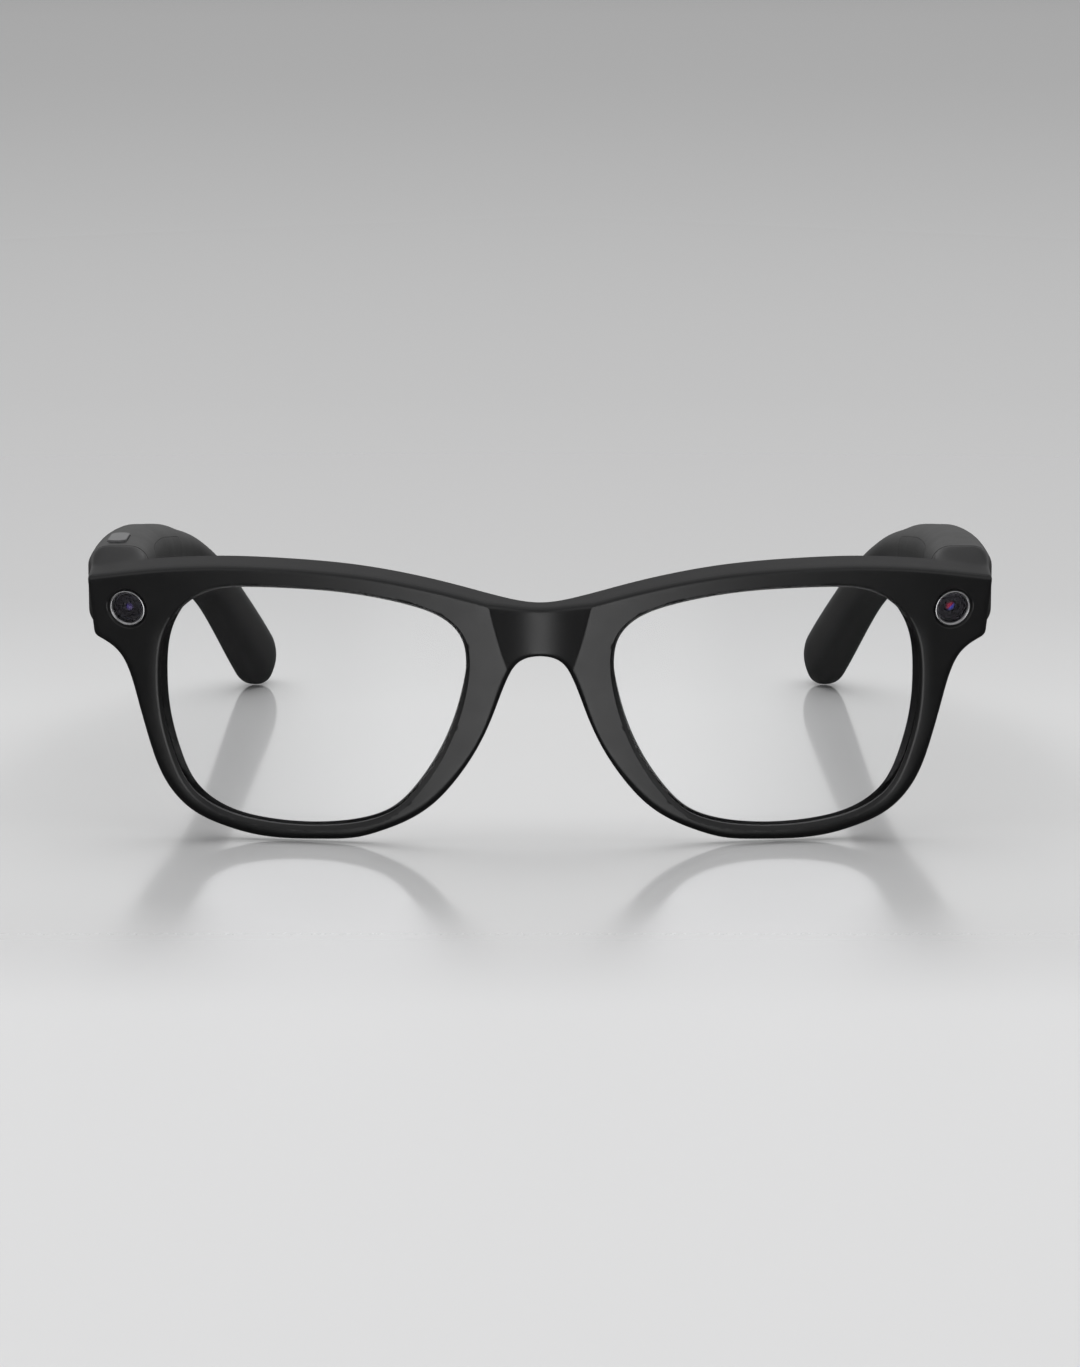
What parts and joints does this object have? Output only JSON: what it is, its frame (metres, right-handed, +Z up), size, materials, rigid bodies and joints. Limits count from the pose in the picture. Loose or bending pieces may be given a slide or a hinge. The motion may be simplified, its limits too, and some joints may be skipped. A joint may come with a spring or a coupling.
{
  "type": "smart glasses",
  "caption": "Smart glasses with a thick square front, clear lenses, a camera and capture light in the end pieces, and two hollow folding temples that hold the electronics.",
  "frame": {"origin": "middle of the footprint, on the surface that the rims and the temple tips stand on", "axes": "+Z up, +X towards the wearer's left, +Y from the front towards the temple tips"},
  "size_m": [0.1476, 0.1468, 0.0473],
  "materials": {
    "frame_plastic": "satin moulded plastic, fine spark-eroded grain, eased edges",
    "cover_plastic": "fine matt moulded plastic",
    "button_plastic": "satin",
    "lens_clear": "clear with a faint anti-reflection tint",
    "flex_film": "polyimide film with copper tracks",
    "gold_contact": "gold plated",
    "bezel_metal": "dark anodised, turned",
    "module_glass": "dark coated glass",
    "module_black": "matt black",
    "light_guide": "smoky diffuser",
    "circuit_board": "solder mask over tracks",
    "shield_metal": "tinned sheet",
    "chip_black": "epoxy package",
    "hinge_steel": "satin, black nickel",
    "screw_steel": "turned",
    "speaker_plastic": "matt",
    "mesh_steel": "woven, blackened",
    "battery_foil": "pouch foil"
  },
  "bodies": {
    "front": {"front_frame": "frame_plastic", "brow_rear_cover": "cover_plastic", "front_flex_circuit": "flex_film", "lens_right": "lens_clear", "lens_left": "lens_clear", "charge_contact_carrier": "cover_plastic", "charge_contacts": "gold_contact", "bridge_microphone": "shield_metal", "camera_bezel_ring": "bezel_metal", "camera_cover_glass": "module_glass", "camera_lens_barrel": "module_black", "camera_lens_element": "module_glass", "camera_sensor_board": "circuit_board", "led_bezel_ring": "bezel_metal", "led_cover_glass": "module_glass", "led_light_guide": "light_guide", "capture_led_board": "circuit_board", "hinge_leaf_front_right": "hinge_steel", "hinge_leaf_front_left": "hinge_steel", "hinge_screw_right": "screw_steel", "hinge_screw_left": "screw_steel", "leaf_screws_front": "screw_steel"},
    "right_temple": {"temple_shell_right": "frame_plastic", "temple_cover_right": "cover_plastic", "hinge_leaf_temple_right": "hinge_steel", "leaf_screws_temple_right": "screw_steel", "main_circuit_board": "circuit_board", "processor_shield_can": "shield_metal", "memory_chip": "chip_black", "touch_sensor_film": "flex_film", "button_switch": "module_black", "speaker_right": "speaker_plastic", "speaker_mesh_right": "mesh_steel", "microphones_right": "shield_metal"},
    "left_temple": {"temple_shell_left": "frame_plastic", "temple_cover_left": "cover_plastic", "hinge_leaf_temple_left": "hinge_steel", "leaf_screws_temple_left": "screw_steel", "battery": "battery_foil", "power_board": "circuit_board", "power_switch_body": "module_black", "speaker_left": "speaker_plastic", "speaker_mesh_left": "mesh_steel", "microphones_left": "shield_metal"},
    "capture_button_body": {"capture_button": "button_plastic"},
    "power_slider_body": {"power_switch_slider": "button_plastic"}
  },
  "joints": [
    {"name": "right_temple_fold", "type": "hinge", "parent": "front", "child": "right_temple", "pos_m": [-0.0612, -0.05337, 0.04], "axis": [0, 0, -1], "range_deg": [0, 85]},
    {"name": "left_temple_fold", "type": "hinge", "parent": "front", "child": "left_temple", "pos_m": [0.0612, -0.05337, 0.04], "axis": [0, 0, 1], "range_deg": [0, 66]},
    {"name": "capture_button_press", "type": "slide", "parent": "right_temple", "child": "capture_button_body", "axis": [0, 0, -1], "range_m": [0, 0.0004], "stiffness_N_per_m": 1200},
    {"name": "power_switch_slide", "type": "slide", "parent": "left_temple", "child": "power_slider_body", "axis": [0, 1, 0], "range_m": [0, 0.002]}
  ]
}
